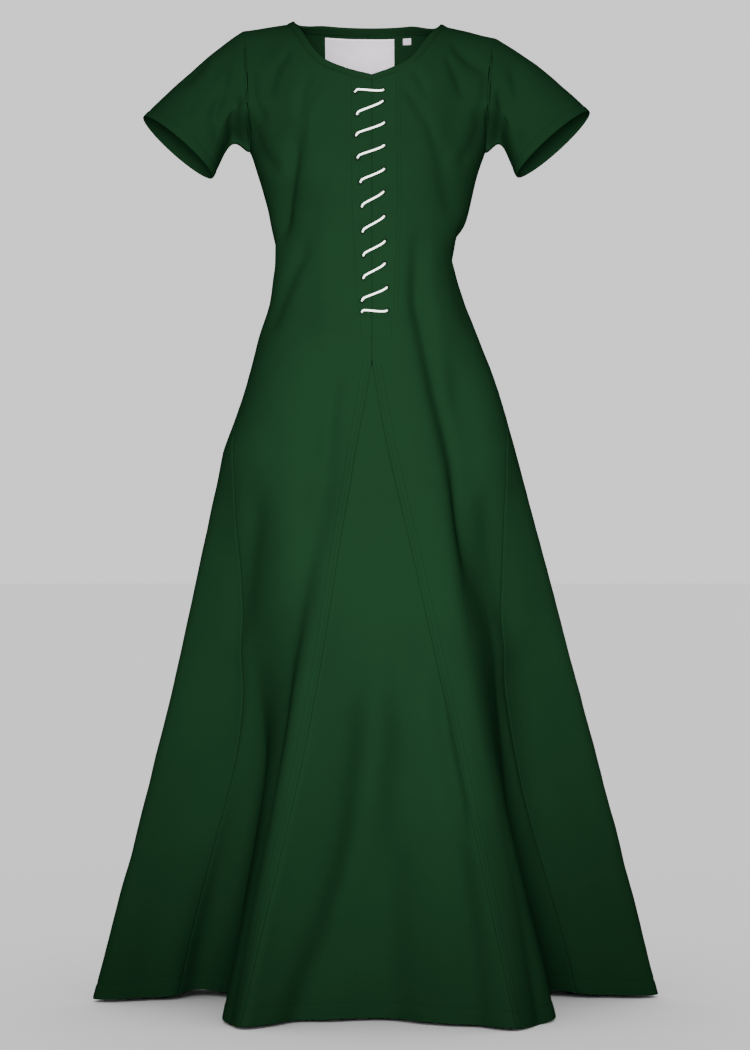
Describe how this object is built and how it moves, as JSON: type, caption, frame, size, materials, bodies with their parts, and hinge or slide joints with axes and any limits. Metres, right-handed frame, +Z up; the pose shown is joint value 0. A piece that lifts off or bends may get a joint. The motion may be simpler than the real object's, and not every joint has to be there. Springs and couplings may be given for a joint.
{
  "type": "medieval gown",
  "caption": "Floor-length flared medieval gown with short sleeves, a bound scoop neck, a spiral-laced front slit and gores let into the skirt.",
  "frame": {"origin": "midway between the shoulders, where the wearer holds the gown up, at the height of the shoulder tips", "axes": "+Z up along the gown, -Y out of its front, +X to the wearer's left"},
  "size_m": [0.821, 0.4989, 1.4077],
  "materials": {
    "twill": "dark green cotton twill, matt with a soft sheen",
    "binding": "dark green cotton binding, matt",
    "lace": "white braided cotton cord",
    "label": "plain woven satin label, pale grey"
  },
  "bodies": {
    "root": {"front_right": "twill", "front_left": "twill", "front_gore": "twill", "side_gore_right": "twill", "side_gore_left": "twill", "back": "twill", "sleeve_right": "twill", "sleeve_left": "twill", "neck_binding": "binding", "lace": "lace", "neck_label": "label", "size_label": "label"}
  },
  "joints": []
}
